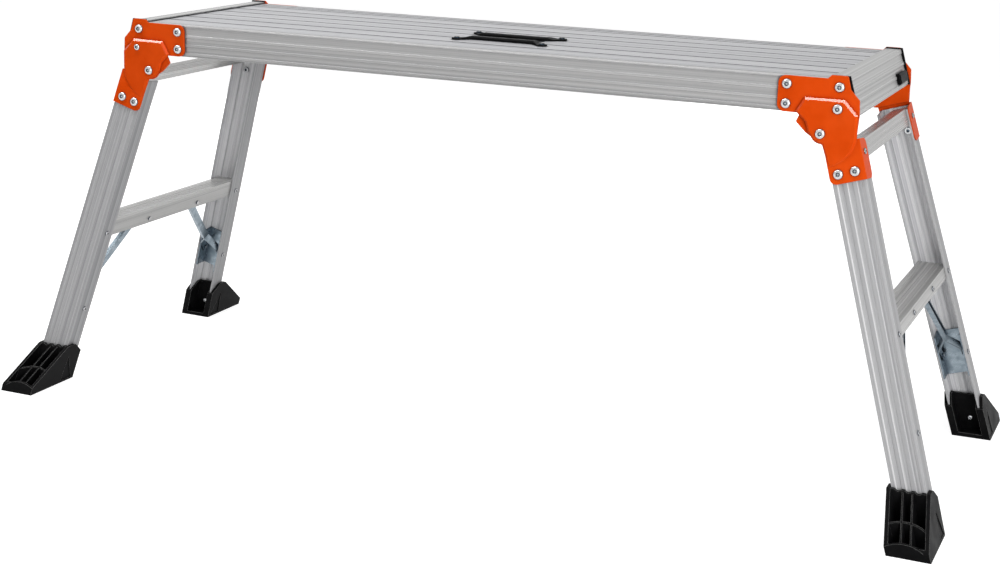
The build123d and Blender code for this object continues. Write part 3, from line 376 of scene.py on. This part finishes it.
# Leg brackets: orange steel plates riveted to the legs, with a flange folded round onto the outer side.
# Each is bent up into a bevelled head beside the deck bracket.
# The pivot pin joins it to the deck bracket's ear, and a lock pin sits in the head.

for end, side in CORNERS:
    coat(orange_coat, f"{end}_{side}_leg_bracket")
for end in ENDS:
    coat(rivet_steel, f"{end}_pivot_pins", f"{end}_lock_pins", f"{end}_leg_plate_rivets")


# Upper bars: an aluminium angle across the top of each leg frame, with its short flange on top.
# It lies behind the outer flanges of the legs and is riveted through them.

bar_aluminium = mill_aluminium("bar_aluminium", CROSSWISE, (0.30, 0.30, 0.295), (0.48, 0.475, 0.47),
                               bare=0.4, rough=(0.34, 0.22))
dull_steel = bright_steel("dull_steel", shade=(0.36, 0.36, 0.365))
for end in ENDS:
    coat(bar_aluminium, f"{end}_upper_bar")
    coat(dull_steel, f"{end}_upper_bar_rivets")


# Rungs: the step about half way up each leg frame, an aluminium channel turned down with a grooved tread.
# It fits between the flanges of the legs, ends just short of their webs and is riveted through the flanges.

rung_aluminium = mill_aluminium("rung_aluminium", CROSSWISE, (0.31, 0.31, 0.305), (0.50, 0.495, 0.49),
                                corner_shade_and_grime=0.25, bare=0.3, rough=(0.38, 0.26))
for end in ENDS:
    coat(rung_aluminium, f"{end}_rung")
    coat(dull_steel, f"{end}_rung_rivets")


# Braces and their plates: zinc plated steel. A brace is a strap with turned lips, bolted inside the rung.
# Its lower end forks into two arms that reach the side walls of the plate.
# The plate is a channel inside the leg, seated on the web and riveted through the flanges.

ZINC = (0.18, 0.222, 0.255), (0.26, 0.308, 0.345)
# Painted dark reflection for edges.
ZINC_EDGE_DARK_REFLECTION = (0.16, 0.2, 0.25)
# Painted shade for folds.
ZINC_FOLD_SHADE = (0.06, 0.08, 0.11)


def bright_zinc(name):
    """Zinc plate with a blue cast, mottled, with a painted dark reflection on its edges and painted shade in
    its folds.
    """
    finish, tree, shader = start_finish(name, Metallic=1.0)
    edge = use_group(tree, edge_mask, Radius=0.0004)
    recess = use_group(tree, corners, Reach=0.008, Full=0.4)["Recess"]
    mottle = spread(tree, noise(tree, scale=110.0, detail=4.0), 0.35, 0.65)
    colour = tint(tree, mottle, *ZINC)
    # Painted dark reflection on the edges.
    colour = lay_over(tree, colour, ZINC_EDGE_DARK_REFLECTION, mask=edge["Edge"], share=0.35)
    # Painted shade darkens the folds.
    colour = lay_over(tree, colour, ZINC_FOLD_SHADE, mask=recess, share=0.7)
    feed(tree, shader, Base_Color=colour, Roughness=spread(tree, mottle, 0.0, 1.0, 0.42, 0.24),
         Normal=edge["Rounded"])
    return finish


brace_zinc = bright_zinc("brace_zinc")
for end, side in CORNERS:
    coat(brace_zinc, f"{end}_{side}_brace", f"{end}_{side}_brace_plate")
for end in ENDS:
    coat(dull_steel, f"{end}_brace_bolts", f"{end}_brace_rivets")


# Feet: black moulded plastic shoes with a long toe and low ribs in it, pushed on the ends of the legs.
# A scalloped wall stands outside the leg, and a tongue behind it takes the rivet.

foot_plastic = moulded_black("foot_plastic", grain=1800.0, wear_and_highlight_share=0.9, rub_width=0.0008,
                             edge_wear_and_highlight=(0.24, 0.24, 0.235))
for end, side in CORNERS:
    coat(foot_plastic, f"{end}_{side}_foot")
for end in ENDS:
    coat(rivet_steel, f"{end}_foot_rivets")


# Floor and light: a plain white floor without a visible end, and soft boxes above, in front, at the right
# end and behind. The camera and reflections see the floor as white, and it keeps a faint shadow.
# The box behind only lifts the faces that look to the rear, and shows in no reflection.

WHITE = (1, 1, 1, 1)
FLOOR_HALF = 30.0
FLOOR_CORNERS = ((-1, -1), (1, -1), (1, 1), (-1, 1))
FLOOR_GLOW = 0.88
FLOOR_SHADOWED = (0.5, 0.5, 0.5, 1)
FLOOR_MATT = (0.75, 0.75, 0.75, 1)
floor_mesh = bpy.data.meshes.new("floor")
floor_mesh.from_pydata([(x * FLOOR_HALF, y * FLOOR_HALF, 0) for x, y in FLOOR_CORNERS], [], [(0, 1, 2, 3)])
floor = bpy.data.objects.new("floor", floor_mesh)
bpy.context.scene.collection.objects.link(floor)


def seen_directly(tree):
    """1 for rays from the camera, from a reflection or through glass."""
    path = place(tree, "ShaderNodeLightPath").outputs
    seen = calculate(tree, "ADD", path["Is Camera Ray"], path["Is Glossy Ray"])
    return calculate(tree, "MINIMUM", calculate(tree, "ADD", seen, path["Is Transmission Ray"]), 1.0)


floor_white = bpy.data.materials.new("floor_white")
floor_white.use_nodes = True
tree = floor_white.node_tree
tree.nodes.clear()
glow = place(tree, "ShaderNodeEmission", {"Color": WHITE, "Strength": FLOOR_GLOW}).outputs[0]
shadowed = place(tree, "ShaderNodeBsdfDiffuse", {"Color": FLOOR_SHADOWED}).outputs[0]
matt = place(tree, "ShaderNodeBsdfDiffuse", {"Color": FLOOR_MATT}).outputs[0]
white = place(tree, "ShaderNodeAddShader", {0: glow, 1: shadowed}).outputs[0]
mixed = place(tree, "ShaderNodeMixShader", {0: seen_directly(tree), 1: matt, 2: white}).outputs[0]
place(tree, "ShaderNodeOutputMaterial", {"Surface": mixed})
floor_mesh.materials.append(floor_white)

AMBIENT = 0.25
studio = bpy.data.worlds.new("studio")
studio.use_nodes = True
bpy.context.scene.world = studio
tree = studio.node_tree
tree.nodes.clear()
around = place(tree, "ShaderNodeBackground", {"Color": WHITE, "Strength": AMBIENT}).outputs[0]
backdrop = place(tree, "ShaderNodeBackground", {"Color": WHITE, "Strength": 1.0}).outputs[0]
mixed = place(tree, "ShaderNodeMixShader", {0: seen_directly(tree), 1: around, 2: backdrop}).outputs[0]
place(tree, "ShaderNodeOutputWorld", {"Surface": mixed})


def soft_box(name, spot, aim, size, watts):
    """A soft box, wide and high, that points at a spot on the platform."""
    lamp = bpy.data.lights.new(name, "AREA")
    lamp.shape = "RECTANGLE"
    lamp.size, lamp.size_y = size
    lamp.energy = watts
    holder = bpy.data.objects.new(name, lamp)
    holder.location = spot
    holder.rotation_euler = (Vector(aim) - Vector(spot)).to_track_quat("-Z", "Y").to_euler()
    bpy.context.scene.collection.objects.link(holder)
    return holder


soft_box("top_box", spot=(-1.15, -0.5, 2.4), aim=(-1.15, -0.3, 0.4), size=(2.7, 0.25), watts=40.0)
soft_box("key_box", spot=(2.3, -2.2, 1.1), aim=(0, 0, 0.35), size=(1.6, 1.5), watts=58.0)
soft_box("edge_box", spot=(1.85, -0.7, 1.87), aim=(0.5, -0.15, 0.48), size=(0.3, 0.3), watts=5.0)
back_box = soft_box("back_box", spot=(-1.2, 2.6, 0.5), aim=(0, 0, 0.4), size=(1.8, 0.8), watts=40.0)
back_box.visible_glossy = False


# Camera: at the photograph's viewing angle and distance, in front of the right end and above the deck.
# It turns to the left, dips to the platform and is rolled slightly about its own axis.

CAMERA_SPOT = Vector((0.92069, -2.14785, 0.80745))
CAMERA_TURN, CAMERA_DIP, CAMERA_ROLL = radians(23.29), radians(14.95), radians(1.53)
SENSOR_WIDTH = 36.0
FOCAL_LENGTH = 61.69
ahead = Vector((-sin(CAMERA_TURN) * cos(CAMERA_DIP), cos(CAMERA_TURN) * cos(CAMERA_DIP), -sin(CAMERA_DIP)))
level = ahead.cross(Vector((0, 0, 1))).normalized()
upright = level.cross(ahead)
rightward = cos(CAMERA_ROLL) * level + sin(CAMERA_ROLL) * upright
upward = cos(CAMERA_ROLL) * upright - sin(CAMERA_ROLL) * level
turned = Matrix((rightward, upward, -ahead)).transposed().to_4x4()
lens = bpy.data.cameras.new("camera")
lens.sensor_width = SENSOR_WIDTH
lens.lens = FOCAL_LENGTH
camera = bpy.data.objects.new("camera", lens)
camera.matrix_world = Matrix.Translation(CAMERA_SPOT) @ turned
bpy.context.scene.collection.objects.link(camera)
bpy.context.scene.camera = camera
bpy.context.scene.view_settings.view_transform = "Standard"
